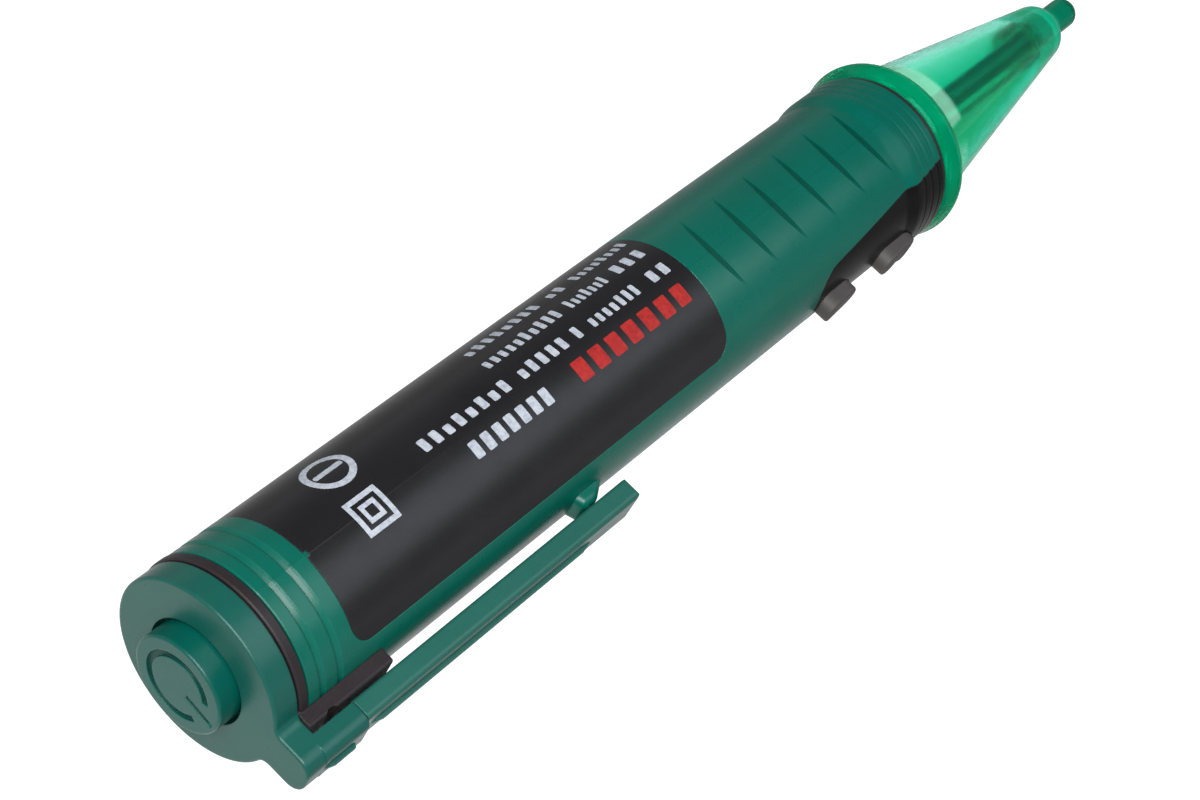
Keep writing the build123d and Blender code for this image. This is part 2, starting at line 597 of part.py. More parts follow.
# ------------------------------------------------------------------ one STEP per piece
os.makedirs("parts", exist_ok=True)
skin = envelope()
shell = housing_shell(skin)
pieces = {
    "housing_key_half": housing_key_half(shell),
    "housing_back_half": housing_back_half(shell),
    "body_label": body_label(),
    "keypad_panel": keypad_panel(skin),
    "rear_key": key(0),
    "front_key": key(1),
    "rear_key_plunger": key_plunger(0),
    "front_key_plunger": key_plunger(1),
    "key_switches": join([key_switch((x0 + x1) / 2) for x0, x1 in KEY_X]),
    "main_board": main_board(),
    "board_screws": join([board_screw(x) for x in BOSS_X]),
    "controller_chip": chip(85.5, 0.0, length=9.9, pins=8),
    "amplifier_chip": chip(106.6, 4.2, length=4.9, pins=4),
    "chip_passives": chip_passives(),
    "reservoir_capacitor": reservoir_capacitor(),
    "sounder": sounder(),
    "battery_carrier": battery_carrier(),
    "battery_cell_a": Pos(CELL_X0, 0, CELL_Z) * cell(),                      # nub to the nose
    "battery_cell_b": Pos(CELL_X1, 0, -CELL_Z) * Rot(0, 0, 180) * cell(),    # nub to the tail
    "front_contact_plate": front_contact_plate(),
    "front_contact_spring": coil(CELL_X1 + 0.05, 61.95, 2.6, 3, -CELL_Z),
    "front_contact_stud": cyl_x(61.0, BULK_X1 + 0.6, 0.6, 0, -CELL_Z),
    "positive_lead": battery_lead(1),
    "negative_lead": battery_lead(-1),
    "tail_cap": tail_cap(),
    "cap_o_ring": Pos(9.07, 0, 0) * Rot(0, 90, 0) * Torus(10.43, 0.44),
    "seal_ring": seal_ring(),
    "power_button": power_button(),
    "button_spring": coil(BUTTON_WELL_X + 0.03, SWITCH_BOARD_X0 - 0.04, 4.62, 5),
    "power_switch": power_switch(),
    "power_switch_plunger": cyl_x(3.61, 5.0, 1.6),
    "switch_board": cyl_x(SWITCH_BOARD_X0, SWITCH_BOARD_X1, 9.2),
    "board_retainer": cyl_x(SWITCH_BOARD_X1 + 0.02, 8.6, 9.24) - cyl_x(7, 9, 8.0),
    "pocket_clip": pocket_clip(),
    "cap_contact_springs": cap_contact_springs(),
    "nose_cone": nose_cone(),
    "nose_seal": nose_seal(),
    "sensor_carrier": sensor_carrier(),
    "coil_former": coil_former(),
    "search_coil": cyl_x(SPOOL_X0 + 0.05, SPOOL_X1 - 0.05, 1.8) - cyl_x(150, 190, 1.52),
    "ferrite_rod": cyl_x(138.0, 186.3, 1.3),
    "antenna_wire": cyl_x(135.5, 176.4, 0.42, ANTENNA_Y),
    "alarm_lamps": join([alarm_lamp(z) for z in LAMP_Z]),
}
for name, shape in pieces.items():
    write(name, shape)
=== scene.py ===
"""Pen-shaped detector with a search coil, lying along X.

The tail cap is at the low-X end and the clear nose at the high-X end. The barrel's axis is
the line y = z = 0, +Z is up, and stations are measured along +X from the cap's rear face.
"""
import bpy
import json
import math
import random
from mathutils import Matrix, Vector


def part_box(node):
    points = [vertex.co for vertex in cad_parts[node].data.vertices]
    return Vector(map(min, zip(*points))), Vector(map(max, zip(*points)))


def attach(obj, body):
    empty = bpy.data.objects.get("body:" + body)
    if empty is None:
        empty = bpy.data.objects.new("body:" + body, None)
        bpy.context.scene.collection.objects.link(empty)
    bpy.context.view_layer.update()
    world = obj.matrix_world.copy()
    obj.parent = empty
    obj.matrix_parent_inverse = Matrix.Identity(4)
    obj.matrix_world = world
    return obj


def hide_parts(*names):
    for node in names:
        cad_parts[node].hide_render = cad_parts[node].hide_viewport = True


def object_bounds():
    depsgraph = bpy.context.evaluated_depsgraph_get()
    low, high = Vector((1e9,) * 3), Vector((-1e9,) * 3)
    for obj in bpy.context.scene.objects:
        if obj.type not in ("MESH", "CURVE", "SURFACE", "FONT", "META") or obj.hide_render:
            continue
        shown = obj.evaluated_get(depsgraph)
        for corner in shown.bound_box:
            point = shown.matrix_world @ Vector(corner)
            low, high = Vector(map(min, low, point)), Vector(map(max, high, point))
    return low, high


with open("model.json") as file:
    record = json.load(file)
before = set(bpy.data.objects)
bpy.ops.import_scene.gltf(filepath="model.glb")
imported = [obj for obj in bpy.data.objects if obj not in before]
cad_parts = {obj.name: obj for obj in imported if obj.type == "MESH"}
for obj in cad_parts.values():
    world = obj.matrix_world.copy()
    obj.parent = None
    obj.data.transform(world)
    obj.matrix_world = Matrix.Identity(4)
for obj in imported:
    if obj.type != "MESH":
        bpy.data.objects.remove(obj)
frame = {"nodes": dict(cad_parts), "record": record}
cad_lo, cad_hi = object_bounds()
scene = bpy.context.scene
MM = 0.001

# ---------------------------------------------------------------- places read from the frame
CAP_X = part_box("tail_cap")[0].x                  # rear face of the tail cap
LABEL_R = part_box("body_label")[1].y              # outside of the label film
SHELL_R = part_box("tail_cap")[1].y + 0.07 * MM    # outside of the plain barrel


def station(mm):
    """X of a station given in mm from the tail cap's rear face."""
    return CAP_X + mm * MM


def stations(*mm):
    return tuple(station(value) for value in mm)


def srgb(*channels):
    """Linear RGBA from 0-255 display values."""
    def linear(c):
        return c / 12.92 if c <= 0.04045 else ((c + 0.055) / 1.055) ** 2.4
    return tuple(linear(c / 255) for c in channels) + (1.0,)


# ---------------------------------------------------------------- node helpers
class Graph:
    """An emptied node tree with short ways to add and connect nodes."""

    def __init__(self, owner, output_kind):
        owner.use_nodes = True
        self.tree = owner.node_tree
        self.tree.nodes.clear()
        self.out = self.add(output_kind)

    def add(self, kind, **props):
        node = self.tree.nodes.new(kind)
        for key, value in props.items():
            setattr(node, key, value)
        return node

    def join(self, source, socket):
        self.tree.links.new(source, socket)

    def put(self, value, socket):
        """Links a socket's value, or sets a plain one."""
        if isinstance(value, bpy.types.NodeSocket):
            self.join(value, socket)
        else:
            socket.default_value = value


class Finish(Graph):
    """A procedural material round one Principled shader."""

    def __init__(self, name):
        self.mat = bpy.data.materials.new(name)
        super().__init__(self.mat, "ShaderNodeOutputMaterial")
        self.bsdf = self.add("ShaderNodeBsdfPrincipled")
        self.join(self.bsdf.outputs[0], self.out.inputs["Surface"])
        self.coord = self.add("ShaderNodeTexCoord").outputs["Object"]
        self.normal = None

    def noise(self, scale, detail=2.0, rough=0.5, stretch=None):
        node = self.add("ShaderNodeTexNoise")
        node.inputs["Scale"].default_value = scale
        node.inputs["Detail"].default_value = detail
        node.inputs["Roughness"].default_value = rough
        vector = self.coord
        if stretch:
            mapping = self.add("ShaderNodeMapping")
            mapping.inputs["Scale"].default_value = stretch
            self.join(vector, mapping.inputs["Vector"])
            vector = mapping.outputs[0]
        self.join(vector, node.inputs["Vector"])
        return node.outputs["Fac"]

    def math(self, operation, *values, clamp=False):
        node = self.add("ShaderNodeMath", operation=operation, use_clamp=clamp)
        for value, socket in zip(values, node.inputs):
            self.put(value, socket)
        return node.outputs[0]

    def plus(self, a, b, clamp=False):
        return self.math("ADD", a, b, clamp=clamp)

    def times(self, a, b):
        return self.math("MULTIPLY", a, b)

    def fit(self, value, span, to=(0.0, 1.0), smooth=False):
        """Maps the range span of value onto the range to, clamped at both ends."""
        kind = "SMOOTHSTEP" if smooth else "LINEAR"
        node = self.add("ShaderNodeMapRange", interpolation_type=kind)
        self.put(value, node.inputs["Value"])
        limits = zip(("From Min", "From Max", "To Min", "To Max"), (*span, *to))
        for key, limit in limits:
            node.inputs[key].default_value = limit
        return node.outputs[0]

    def band(self, value, rise, fall, smooth=False):
        """1 between the ranges rise and fall, 0 outside them."""
        return self.times(self.fit(value, span=rise, smooth=smooth),
                          self.fit(value, span=fall, to=(1.0, 0.0), smooth=smooth))

    def patches(self, scale, detail=2.0, rough=0.5, span=(0.3, 0.7), to=(0.0, 1.0)):
        """Noise with its range span mapped onto to."""
        return self.fit(self.noise(scale, detail, rough), span=span, to=to)

    def blend(self, fac, a, b):
        node = self.add("ShaderNodeMix", data_type="RGBA")
        self.put(fac, node.inputs[0])
        self.put(a, node.inputs[6])
        self.put(b, node.inputs[7])
        return node.outputs[2]

    def xyz(self, vector=None):
        node = self.add("ShaderNodeSeparateXYZ")
        self.join(vector or self.coord, node.inputs[0])
        return node.outputs

    def axis_distance(self, y, z):
        return self.math("SQRT", self.plus(self.times(y, y), self.times(z, z)))

    def facing(self):
        """The surface normal in the piece's own frame."""
        geometry = self.add("ShaderNodeNewGeometry")
        turn = self.add("ShaderNodeVectorTransform", vector_type="NORMAL",
                        convert_from="WORLD", convert_to="OBJECT")
        self.join(geometry.outputs["True Normal"], turn.inputs[0])
        return self.xyz(turn.outputs[0])

    def soften(self, radius):
        """Rounds the edges in the shading."""
        bevel = self.add("ShaderNodeBevel", samples=4)
        bevel.inputs["Radius"].default_value = radius
        self.normal = bevel.outputs[0]

    def edge_nearness(self):
        """How far the softened normal turns from the plain one: 0 on flats, 1 at edges."""
        geometry = self.add("ShaderNodeNewGeometry")
        dot = self.add("ShaderNodeVectorMath", operation="DOT_PRODUCT")
        self.join(self.normal, dot.inputs[0])
        self.join(geometry.outputs["Normal"], dot.inputs[1])
        return self.fit(dot.outputs["Value"], span=(0.995, 0.80))

    def bump(self, height, distance):
        node = self.add("ShaderNodeBump")
        node.inputs["Strength"].default_value = 1.0
        node.inputs["Distance"].default_value = distance
        self.join(height, node.inputs["Height"])
        if self.normal is not None:
            self.join(self.normal, node.inputs["Normal"])
        self.normal = node.outputs[0]

    def finish(self, color, rough, **more):
        """Fills the shader; underscores in the names of more stand for spaces."""
        self.put(color, self.bsdf.inputs["Base Color"])
        self.put(rough, self.bsdf.inputs["Roughness"])
        for key, value in more.items():
            self.put(value, self.bsdf.inputs[key.replace("_", " ")])
        if self.normal is not None:
            self.join(self.normal, self.bsdf.inputs["Normal"])
        return self.mat


# ---------------------------------------------------------------- moulded plastics
def paint_engraving_shade(f, color, rough, face_x, mark_radius):
    """Paints shade on the floor of a mark cut into a face that looks to -X, and dulls it."""
    x, y, z = f.xyz()
    radius = f.axis_distance(y, z)
    depth = f.fit(x, span=(face_x + 0.06 * MM, face_x + 0.18 * MM), to=(0.0, 0.6))
    inside = f.fit(radius, span=(mark_radius - 0.2 * MM, mark_radius), to=(1.0, 0.0))
    amount = f.times(depth, inside)
    # painted shade: the mark's floor is darkened towards its bottom
    color = f.blend(amount, color, srgb(0, 40, 35))
    return color, f.plus(rough, f.times(amount, 0.3))


def shell_details(f, color, rough, specular, edge):
    """Flat shading at the joint of the two shells and on the grip; painted shade and a duller
    finish in the grip grooves.
    """
    x, y, z = f.xyz()
    rounded = f.fit(f.math("ABSOLUTE", y), span=(0.35 * MM, 0.6 * MM))
    grip = f.band(x, rise=stations(86, 87), fall=stations(129.4, 130))
    grip = f.times(grip, f.math("GREATER_THAN", f.math("ABSOLUTE", z), 4.0 * MM))
    rounded = f.times(rounded, f.math("SUBTRACT", 1.0, grip))
    groove_span = (SHELL_R - 0.30 * MM, SHELL_R - 0.05 * MM)
    shaded_groove = f.times(grip, f.fit(f.axis_distance(y, z), span=groove_span, to=(1.0, 0.0)))
    # painted shade: the grip grooves are darkened towards their floor
    color = f.blend(f.times(shaded_groove, 0.55), color, srgb(0, 58, 50))
    rough = f.plus(rough, f.times(shaded_groove, 0.15))
    specular = f.fit(x, span=stations(92, 132), to=(specular, 0.22))
    geometry = f.add("ShaderNodeNewGeometry")
    pick = f.add("ShaderNodeMix", data_type="VECTOR")
    f.join(rounded, pick.inputs[0])
    f.join(geometry.outputs["Normal"], pick.inputs[4])
    f.join(f.normal, pick.inputs[5])
    f.normal = pick.outputs[1]
    return color, rough, specular, f.times(edge, rounded)


def moulded(name, dark, light, rough=0.42, grain=3800.0, grain_depth=7e-6,
            edge_radius=0.22 * MM, worn=None, specular=0.5, shell=False, engraved=None):
    """Moulded plastic with fine grain and faint mottling.

    worn is the colour of rubbed edges; without it the edges stay sharp.
    engraved is (x of the face, radius inside which the mark lies); its floor gets painted shade.
    """
    f = Finish(name)
    mix = f.plus(f.patches(scale=70, detail=4, rough=0.55, to=(0.0, 0.75)),
                 f.patches(scale=950, detail=3, rough=0.6, to=(-0.12, 0.25)), clamp=True)
    color = f.blend(mix, dark, light)
    rough = f.plus(f.patches(scale=260, detail=3, to=(-0.035, 0.035)),
                   f.patches(scale=2400, to=(rough - 0.02, rough + 0.03)))
    if engraved:
        color, rough = paint_engraving_shade(f, color, rough, *engraved)
    if worn:
        f.soften(radius=edge_radius)
        edge = f.edge_nearness()
        if shell:
            color, rough, specular, edge = shell_details(f, color, rough, specular, edge)
        patch = f.patches(scale=420, detail=4, rough=0.65, span=(0.38, 0.62), to=(0.25, 1.0))
        amount = f.times(edge, f.times(patch, 0.4))
        color = f.blend(amount, color, worn)
        rough = f.math("SUBTRACT", rough, f.times(amount, 0.12))
    f.bump(f.noise(scale=170), distance=1.2e-5)
    f.bump(f.noise(scale=grain, detail=3, rough=0.6), distance=grain_depth)
    return f.finish(color, rough, Specular_IOR_Level=specular, Coat_Weight=0.0,
                    Coat_Roughness=0.3, IOR=1.5)


MATS = {}      # material for each slot of the frame
MATS["green_abs"] = moulded("cap_green", srgb(0, 99, 84), srgb(0, 106, 90), rough=0.30,
                            worn=srgb(40, 140, 122))
SHELL = moulded("shell_green", srgb(0, 99, 84), srgb(0, 106, 90), rough=0.30,
                worn=srgb(40, 140, 122), shell=True)
# painted shade: the cap is a darker, greyer copy of the shell green
CAP = moulded("tail_cap_green", srgb(16, 89, 79), srgb(22, 95, 85), rough=0.31,
              worn=srgb(48, 134, 120))
# painted sheen: the clip is a lighter, greyer copy of the shell green
CLIP = moulded("clip_green", srgb(34, 98, 87), srgb(40, 104, 93), rough=0.31,
               worn=srgb(60, 140, 126))
MATS["green_button"] = moulded("button_green", srgb(0, 88, 78), srgb(0, 95, 84), rough=0.30,
                               worn=srgb(40, 130, 118),
                               engraved=(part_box("power_button")[0].x, 5.6 * MM))
MATS["black_seal"] = moulded("seal_black", srgb(36, 30, 32), srgb(46, 38, 41), rough=0.46,
                             grain=2400, grain_depth=2.2e-5, worn=srgb(95, 88, 90),
                             edge_radius=0.18 * MM)
MATS["key_rubber"] = moulded("key_rubber", srgb(74, 71, 70), srgb(84, 81, 80), rough=0.56,
                             grain=5600, grain_depth=1.0e-5, worn=srgb(110, 104, 103),
                             edge_radius=0.3 * MM)
MATS["black_panel"] = moulded("panel_black", srgb(12, 11, 11), srgb(17, 16, 16), rough=0.30,
                              specular=0.2, grain=4300, grain_depth=8e-6,
                              worn=srgb(80, 76, 76))

# Plain parts: slot, material name, dark colour, light colour, roughness, grain scale
PLAIN_PARTS = [
    ("black_nylon", "nylon_black", (24, 24, 25), (34, 34, 35), 0.5, 3800),
    ("white_nylon", "nylon_white", (206, 208, 200), (222, 222, 214), 0.42, 3800),
    ("switch_case", "switch_black", (26, 26, 27), (36, 36, 38), 0.4, 3800),
    ("chip", "chip_epoxy", (24, 24, 26), (36, 36, 38), 0.5, 9000),
    ("ceramic", "passive_ceramic", (150, 118, 84), (176, 146, 110), 0.45, 3800),
    ("wire_sleeve", "sleeve_pale", (196, 214, 206), (214, 228, 222), 0.4, 3800),
    ("lead_red", "lead_red", (168, 20, 18), (190, 30, 26), 0.42, 3800),
    ("lead_black", "lead_black", (24, 24, 24), (34, 34, 34), 0.42, 3800),
]
for slot, name, dark, light, rough, grain in PLAIN_PARTS:
    MATS[slot] = moulded(name, srgb(*dark), srgb(*light), rough=rough, grain=grain)


# ---------------------------------------------------------------- label film and inks
def label_film():
    """Satin film with a fine orange-peel skin and the shell's crease showing through."""
    f = Finish("label_film")
    x, y, z = f.xyz()
    color = f.blend(f.patches(scale=120, detail=4), srgb(24, 23, 25), srgb(29, 28, 31))
    speck = f.patches(scale=5200, rough=0.7, span=(0.62, 0.72), to=(0.0, 0.35))
    color = f.blend(speck, color, srgb(66, 66, 70))
    rough = f.plus(f.patches(scale=300, detail=3, to=(-0.03, 0.03)),
                   f.patches(scale=3200, to=(0.33, 0.38)))
    f.soften(radius=0.12 * MM)
    color = f.blend(f.times(f.edge_nearness(), 0.35), color, srgb(96, 98, 102))
    # crease: a slightly wandering line along the top, fading out away from the tail
    wander = f.patches(scale=160, span=(0, 1), to=(-0.06 * MM, 0.06 * MM))
    near = f.fit(f.math("ABSOLUTE", f.plus(y, wander)), span=(0.0, 0.22 * MM),
                 to=(1.0, 0.0), smooth=True)
    above = f.math("GREATER_THAN", z, 0.0)
    fade = f.fit(x, span=stations(14, 46), to=(1.0, 0.0))
    f.bump(f.times(f.times(near, above), fade), distance=3.0e-5)
    f.bump(f.noise(scale=110, detail=3, stretch=(0.45, 1, 1)), distance=3.0e-5)
    f.bump(f.noise(scale=1400), distance=5e-6)
    f.bump(f.noise(scale=6500), distance=2.5e-6)
    return f.finish(color, rough, Specular_IOR_Level=0.55, Coat_Weight=0.12,
                    Coat_Roughness=0.22)


def ink(name, dark, light, rough):
    """Screen-printed ink: slightly uneven cover, soft pinholes and a dry surface."""
    f = Finish(name)
    cover = f.patches(scale=1500, detail=4, rough=0.65, span=(0.32, 0.6))
    color = f.blend(cover, dark, light)
    pinholes = f.patches(scale=4200, rough=0.6, span=(0.66, 0.74), to=(0.0, 0.5))
    color = f.blend(pinholes, color, srgb(70, 70, 74))
    f.bump(f.noise(scale=2600, detail=3, rough=0.6), distance=8e-6)
    rough = f.patches(scale=900, detail=3, to=(rough - 0.04, rough + 0.05))
    return f.finish(color, rough, Specular_IOR_Level=0.4)


MATS["label_film"] = label_film()
MATS["print_white"] = ink("print_white", srgb(166, 174, 186), srgb(202, 208, 218), rough=0.5)
MATS["print_red"] = ink("print_red", srgb(158, 30, 30), srgb(188, 44, 40), rough=0.48)


# ---------------------------------------------------------------- clear plastics
def clear_green():
    """Tinted clear plastic with a slight haze, deep green where the nose is solid, with painted
    light: a paler +Y side and a highlight ring at the cone's root.
    """
    f = Finish("nose_clear_green")
    x, y, z = f.xyz()
    flow = f.patches(scale=90, detail=3, to=(-0.06, 0.06))
    across = f.plus(f.times(y, -0.93), f.times(z, 0.1))       # grows towards -Y
    # painted light: the +Y side is tinted paler mint, the -Y side deeper green
    side = f.plus(f.fit(across, span=(-5.5 * MM, 2.0 * MM), smooth=True), flow, clamp=True)
    color = f.blend(side, (0.32, 0.92, 0.74, 1), (0.0, 0.60, 0.35, 1))
    # solid end, then the thick rounded tip
    solid = f.fit(x, span=stations(178.5, 182.5), smooth=True)
    color = f.blend(solid, color, (0.0, 0.58, 0.32, 1))
    tip = f.fit(x, span=stations(189.0, 191.5), smooth=True)
    color = f.blend(tip, color, (0.0, 0.22, 0.12, 1))
    # flange: thick enough to hide what is behind it
    rim = f.fit(x, span=stations(142.6, 143.4), to=(1.0, 0.0), smooth=True)
    color = f.blend(rim, color, (0.0, 0.45, 0.21, 1))
    clear = f.math("SUBTRACT", 0.93, f.times(rim, 0.33))
    # painted highlight: a pale, less clear ring at the root of the cone, on its +Y+Z side and,
    # more weakly, its -Y side
    root = f.band(x, rise=stations(143.2, 143.8), fall=stations(148.2, 149.6), smooth=True)
    diagonal = f.plus(z, f.times(y, 0.75))
    upper = f.times(root, f.fit(diagonal, span=(4.2 * MM, 5.4 * MM), smooth=True))
    lower = f.times(root, f.fit(y, span=(-9.2 * MM, -7.6 * MM), to=(0.7, 0.0), smooth=True))
    root_highlight = f.math("MAXIMUM", upper, lower)
    color = f.blend(root_highlight, color, (0.46, 1.0, 0.72, 1))
    clear = f.math("SUBTRACT", clear, f.times(root_highlight, 0.4))
    clear = f.math("SUBTRACT", clear, f.times(solid, 0.35))
    f.soften(radius=0.25 * MM)
    f.bump(f.noise(scale=240), distance=2.0e-5)
    f.bump(f.noise(scale=3000), distance=2.0e-6)
    rough = f.patches(scale=500, detail=3, span=(0.35, 0.7), to=(0.08, 0.16))
    return f.finish(color, rough, Transmission_Weight=clear, IOR=1.34,
                    Specular_IOR_Level=0.3, Specular_Tint=(0.15, 1.0, 0.75, 1))


def lamp_red():
    f = Finish("lamp_red")
    color = f.blend(f.patches(scale=300), (0.75, 0.05, 0.03, 1), (0.85, 0.09, 0.05, 1))
    rough = f.patches(scale=800, to=(0.08, 0.16))
    return f.finish(color, rough, Transmission_Weight=0.75, IOR=1.52)


MATS["clear_green"] = clear_green()
MATS["lamp_red"] = lamp_red()


# ---------------------------------------------------------------- metals, rod and board
def metal(name, dark, light, rough, stretch=(1, 14, 14), scale=900.0):
    """Drawn or plated metal with fine directional marks."""
    f = Finish(name)
    streak = f.noise(scale=scale, detail=4, rough=0.6, stretch=stretch)
    color = f.blend(f.fit(streak, span=(0.3, 0.7)), dark, light)
    f.bump(streak, distance=3e-6)
    rough = f.patches(scale=scale * 0.4, detail=3, to=(rough - 0.05, rough + 0.07))
    return f.finish(color, rough, Metallic=1.0)


def board():
    """Solder mask over copper: tracks show as slightly raised, lighter lines."""
    f = Finish("solder_mask")
    brick = f.add("ShaderNodeTexBrick")
    plan = f.add("ShaderNodeCombineXYZ")      # the tracks are laid out in X and Z
    x, y, z = f.xyz()
    f.join(x, plan.inputs[0])
    f.join(z, plan.inputs[1])
    f.join(plan.outputs[0], brick.inputs["Vector"])
    layout = {"Scale": 260.0, "Mortar Size": 0.06, "Bias": 0.2, "Brick Width": 1.1,
              "Row Height": 0.22}
    for key, value in layout.items():
        brick.inputs[key].default_value = value
    track = brick.outputs["Fac"]
    color = f.blend(track, srgb(10, 78, 40), srgb(26, 112, 62))
    stain = f.patches(scale=700, detail=4, span=(0.35, 0.7), to=(0.0, 0.35))
    color = f.blend(stain, color, srgb(6, 60, 30))
    f.bump(track, distance=2e-5)
    return f.finish(color, f.patches(scale=1200, to=(0.24, 0.36)), Coat_Weight=0.3)


MATS["steel"] = metal("spring_steel", srgb(150, 150, 152), srgb(196, 196, 198), rough=0.28)
MATS["nickel"] = metal("nickel_plate", srgb(190, 184, 170), srgb(222, 216, 204), rough=0.24)
MATS["can"] = metal("capacitor_can", srgb(176, 178, 182), srgb(208, 210, 214), rough=0.32)
MATS["copper"] = metal("enamelled_wire", srgb(76, 160, 176), srgb(104, 182, 192), rough=0.45,
                       stretch=(9, 1, 1), scale=1600)
MATS["ferrite"] = moulded("ferrite_rod", srgb(66, 84, 84), srgb(88, 104, 102), rough=0.5,
                          grain=7000, grain_depth=1.4e-5)
MATS["board"] = board()


# ---------------------------------------------------------------- battery cells
def cell_sleeve(name, toward_nose):
    """Printed sleeve with a pale band at the plus end, and plated steel ends.

    The bands of both cells are placed along the extent of cell a.
    """
    f = Finish(name)
    lo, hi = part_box("battery_cell_a")
    x = f.xyz()[0]
    along = f.fit(x, span=(lo.x, hi.x), to=(0.0, 1.0) if toward_nose else (1.0, 0.0))
    band = f.fit(along, span=(0.735, 0.745))
    line = f.band(along, rise=(0.715, 0.718), fall=(0.728, 0.731))
    color = f.blend(band, srgb(30, 34, 38), srgb(186, 146, 72))
    color = f.blend(line, color, srgb(220, 222, 222))
    scuff = f.patches(scale=600, detail=4, span=(0.4, 0.75), to=(0.0, 0.2))
    color = f.blend(scuff, color, srgb(120, 120, 120))
    end = f.math("GREATER_THAN", f.math("ABSOLUTE", f.facing()[0]), 0.85)
    color = f.blend(end, color, srgb(196, 194, 188))
    f.bump(f.noise(scale=1200, detail=3), distance=3e-6)
    metallic = f.math("MAXIMUM", end, f.times(band, 0.7))
    rough = f.patches(scale=500, detail=3, to=(0.24, 0.36))
    return f.finish(color, rough, Metallic=metallic)


FORMER = moulded("former_nylon", srgb(96, 150, 142), srgb(110, 164, 156), rough=0.5)
CELL_A = cell_sleeve("cell_a_sleeve", toward_nose=True)
CELL_B = cell_sleeve("cell_b_sleeve", toward_nose=False)

# ---------------------------------------------------------------- finishes on the CAD pieces
OWN_FINISH = {
    "battery_cell_a": CELL_A, "battery_cell_b": CELL_B, "tail_cap": CAP,
    "pocket_clip": CLIP, "coil_former": FORMER, "ferrite_rod": MATS["ferrite"],
}
slot_of = {part["node"]: part["material_slot"] for part in frame["record"]["subparts"]}
for name, piece in frame["nodes"].items():
    material = OWN_FINISH.get(name, MATS.get(slot_of[name]))
    if name.startswith("housing_"):
        material = SHELL
    piece.data.materials.clear()
    piece.data.materials.append(material)


def mesh_object(name, verts, faces, material, smooth=True):
    mesh = bpy.data.meshes.new(name)
    mesh.from_pydata([tuple(v) for v in verts], [], faces)
    mesh.update()
    if smooth:
        for polygon in mesh.polygons:
            polygon.use_smooth = True
    mesh.materials.append(material)
    obj = bpy.data.objects.new(name, mesh)
    scene.collection.objects.link(obj)
    return obj


# ---------------------------------------------------------------- print on the label
# Flat shapes are grids of (x, arc): arc is the length round the label from +Z towards -Y.
PRINT_LOW, PRINT_HIGH = LABEL_R + 0.002 * MM, LABEL_R + 0.014 * MM


def arc(degrees):
    return math.radians(degrees) * LABEL_R


def skin_point(x, s, radius):
    angle = s / LABEL_R
    return Vector((x, -math.sin(angle) * radius, math.cos(angle) * radius))


def add_sheet(verts, faces, grid):
    """Adds one grid patch as a closed thin sheet that follows the label."""
    rows, cols = len(grid), len(grid[0])
    base = len(verts)
    for radius in (PRINT_HIGH, PRINT_LOW):
        verts += [skin_point(x, s, radius) for row in grid for x, s in row]

    def top(i, j):
        return base + i * cols + j

    def low(i, j):
        return top(i + rows, j)

    # Turn the faces if they look inwards. With two points to a row the test can come to
    # zero, and the patch is left as it is.
    i, j = rows // 2, cols // 2
    here = verts[top(i, j)]
    next_row = verts[top(min(i + 1, rows - 1), j)]
    next_col = verts[top(i, min(j + 1, cols - 1))]
    outward = Vector((0, here.y, here.z))
    flip = (next_row - here).cross(next_col - here).dot(outward) < 0

    def add_face(*corners):
        faces.append(tuple(reversed(corners)) if flip else corners)

    for i in range(rows - 1):
        for j in range(cols - 1):
            add_face(top(i, j), top(i + 1, j), top(i + 1, j + 1), top(i, j + 1))
            add_face(low(i, j), low(i, j + 1), low(i + 1, j + 1), low(i + 1, j))
    rim = ([(i, 0) for i in range(rows)] + [(rows - 1, j) for j in range(1, cols)]
           + [(i, cols - 1) for i in range(rows - 2, -1, -1)]
           + [(0, j) for j in range(cols - 2, 0, -1)])
    for p, q in zip(rim, rim[1:] + rim[:1]):
        add_face(top(*q), top(*p), low(*p), low(*q))


def print_piece(name, grids, finish):
    verts, faces = [], []
    for grid in grids:
        add_sheet(verts, faces, grid)
    obj = mesh_object(name, verts, faces, finish)
    obj.data.validate()
    split = obj.modifiers.new("edges", "EDGE_SPLIT")
    split.split_angle = math.radians(40)
    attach(obj, "housing")


def bar(x0, x1, s0, s1, radius):
    """Block with rounded corners."""
    radius = min(radius, (x1 - x0) / 2.05, (s1 - s0) / 2.05)
    xs = [x0 + radius * (1 - math.cos(math.radians(a))) for a in (0, 22, 45, 67, 90)]
    xs += [x1 - (x - x0) for x in reversed(xs)]
    across = max(4, int((s1 - s0) / (0.35 * MM)))
    rows = []
    for x in xs:
        inset = min(x - x0, x1 - x)
        rise = radius - min(inset, radius)
        cut = radius - math.sqrt(max(0.0, radius * radius - rise ** 2))
        a, b = s0 + cut, s1 - cut
        rows.append([(x, a + (b - a) * j / across) for j in range(across + 1)])
    return rows


def ring(x, s, inner, outer, steps=48):
    rows = []
    for i in range(steps + 1):
        a = math.radians(360.0 * i / steps)
        rows.append([(x + radius * math.cos(a), s + radius * math.sin(a))
                     for radius in (inner, (inner + outer) / 2, outer)])
    return rows


def outline(x0, x1, s0, s1, stroke, steps=10):
    """Rectangular outline made of four bars with mitred corners."""
    def between(p, q, i):
        return (p[0] + (q[0] - p[0]) * i / steps, p[1] + (q[1] - p[1]) * i / steps)

    def corners(inset):
        return [(x0 + inset, s0 + inset), (x1 - inset, s0 + inset),
                (x1 - inset, s1 - inset), (x0 + inset, s1 - inset)]

    outer, inner = corners(0), corners(stroke)
    return [[[between(outer[k], outer[(k + 1) % 4], i), between(inner[k], inner[(k + 1) % 4], i)]
             for i in range(steps + 1)] for k in range(4)]


